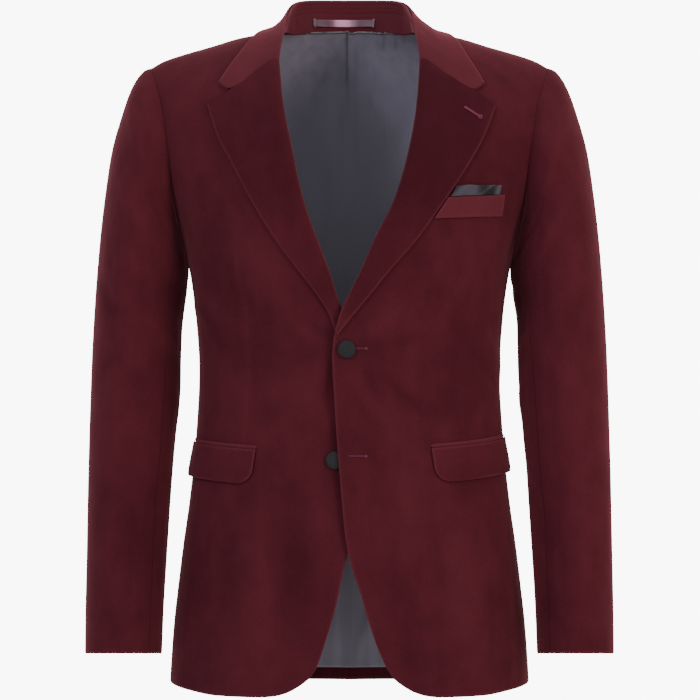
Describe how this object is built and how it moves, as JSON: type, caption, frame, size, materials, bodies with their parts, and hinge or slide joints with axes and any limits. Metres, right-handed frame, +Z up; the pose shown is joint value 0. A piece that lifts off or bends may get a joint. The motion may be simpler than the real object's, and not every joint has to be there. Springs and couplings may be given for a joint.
{
  "type": "velvet blazer",
  "caption": "Single-breasted velvet blazer with notch lapels, flap pockets and a breast pocket, fastened and filled out as worn, hollow inside.",
  "frame": {"origin": "on the centre plane, level with the neck points of the shoulder seams and under the shoulder ridge, where the wearer's neck and shoulders hold the garment", "axes": "+X to the wearer's left, +Y to the wearer's back, +Z up"},
  "size_m": [0.5856, 0.2666, 0.7785],
  "materials": {
    "velvet": "cotton velvet with a soft nap",
    "satin_lining": "satin",
    "satin_square": "satin",
    "satin_loop": "iridescent satin",
    "covered_button": "cloth-covered"
  },
  "bodies": {
    "root": {"front_left": "velvet", "side_left": "velvet", "back_left": "velvet", "top_sleeve_left": "velvet", "under_sleeve_left": "velvet", "lapel_left": "velvet", "flap_left": "velvet", "jet_left": "velvet", "front_right": "velvet", "side_right": "velvet", "back_right": "velvet", "top_sleeve_right": "velvet", "under_sleeve_right": "velvet", "lapel_right": "velvet", "flap_right": "velvet", "jet_right": "velvet", "collar_leaf": "velvet", "collar_stand": "velvet", "lining_back": "satin_lining", "hanger_loop": "satin_loop", "breast_welt": "velvet", "pocket_square": "satin_square", "button_top": "covered_button", "button_low": "covered_button"}
  },
  "joints": []
}
